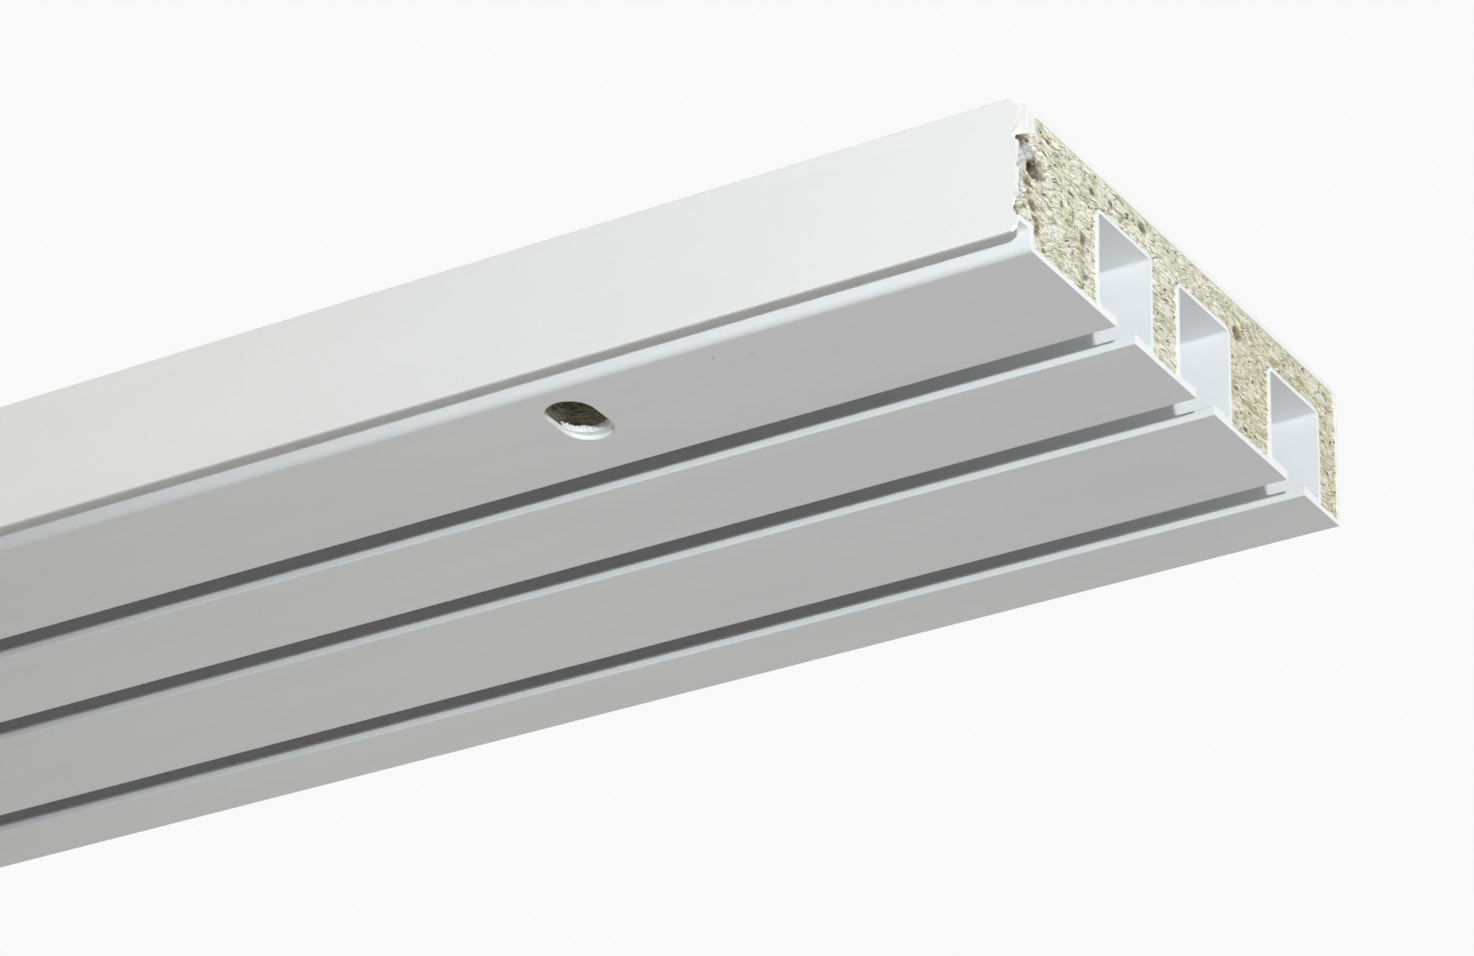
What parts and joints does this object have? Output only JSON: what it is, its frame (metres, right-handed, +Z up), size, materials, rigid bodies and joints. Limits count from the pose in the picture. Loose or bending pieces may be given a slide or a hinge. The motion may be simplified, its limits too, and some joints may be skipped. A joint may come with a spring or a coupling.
{
  "type": "curtain track",
  "caption": "Ceiling curtain track: a chipboard core with slotted running channels lined in white plastic, a front fascia strip and a covered top.",
  "frame": {"origin": "centre of the flat ceiling face on top of the track, midway along its length", "axes": "+X along the track towards its sawn right end, +Y from the fascia to the back, +Z up to the ceiling"},
  "size_m": [1.2, 0.0909, 0.0215],
  "materials": {
    "chipboard": "raw sawn chipboard, cream with straw and brown flakes",
    "running_plastic": "satin cool white extruded plastic",
    "fascia_plastic": "satin warm white extruded plastic",
    "covering": "matte white covering"
  },
  "bodies": {
    "root": {"chipboard_core": "chipboard", "running_profile": "running_plastic", "front_fascia": "fascia_plastic", "top_covering": "covering"}
  },
  "joints": []
}
